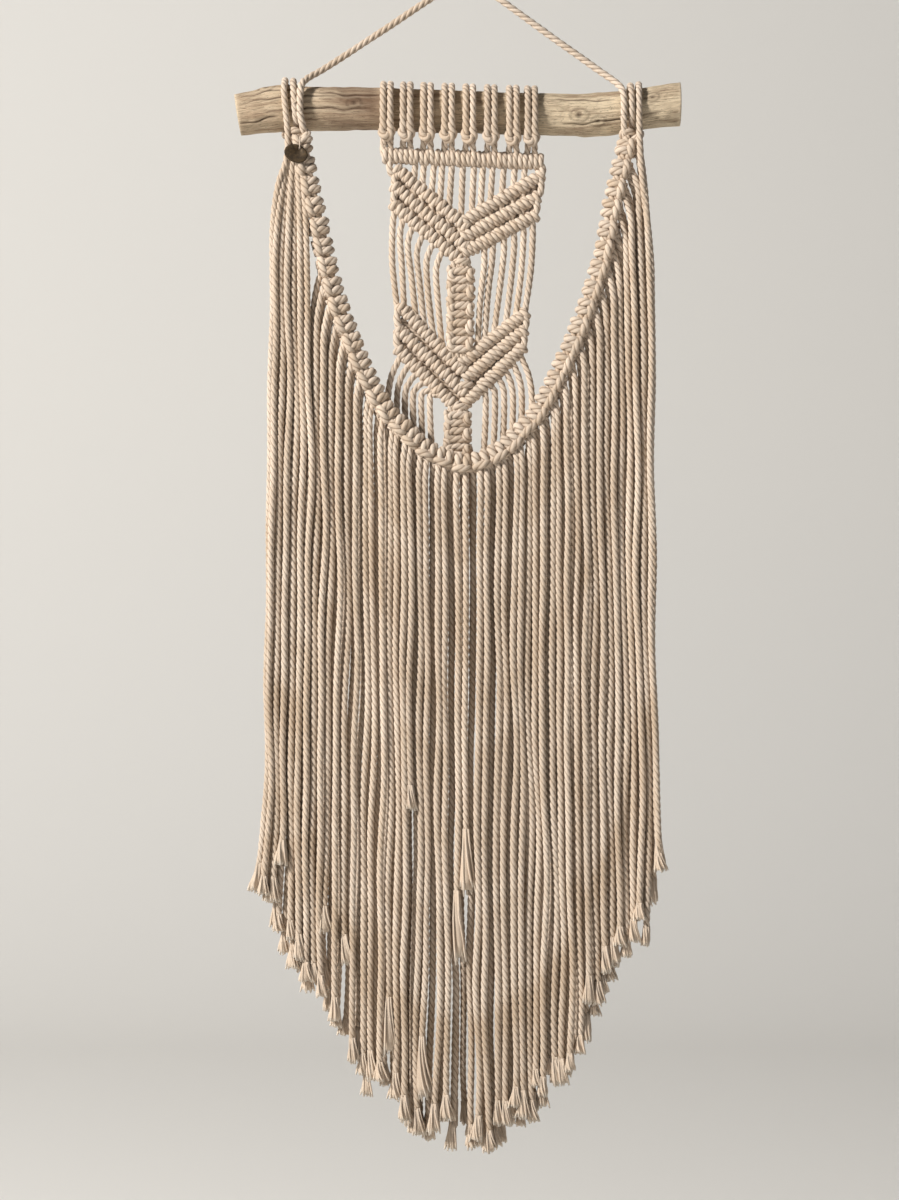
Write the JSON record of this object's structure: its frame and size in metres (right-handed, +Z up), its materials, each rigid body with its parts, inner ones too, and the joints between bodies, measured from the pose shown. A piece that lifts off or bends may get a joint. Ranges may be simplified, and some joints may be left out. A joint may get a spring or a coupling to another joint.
{
  "type": "macrame wall hanging on a wooden rod",
  "caption": "Knotted cord wall hanging on a branch rod, with a centre panel of V shaped knot rows, a U shaped knotted swag, a long fringe and a hanger rope.",
  "frame": {"origin": "top of the hanger rope, where the nail on the wall carries it", "axes": "+Z up; +X along the rod, to the right as seen from the front; the front faces -Y and the wall is at +Y"},
  "size_m": [0.3359, 0.0498, 0.8845],
  "materials": {
    "driftwood": "weathered, dry branch wood with brown streaks",
    "cotton_cord": "matt three-ply twisted cotton, frayed at the ends",
    "tag_metal": "aged, darkened brass"
  },
  "bodies": {
    "root": {"rod": "driftwood", "hanger_cord": "cotton_cord", "tag": "tag_metal", "panel": "cotton_cord", "swag": "cotton_cord"}
  },
  "joints": []
}
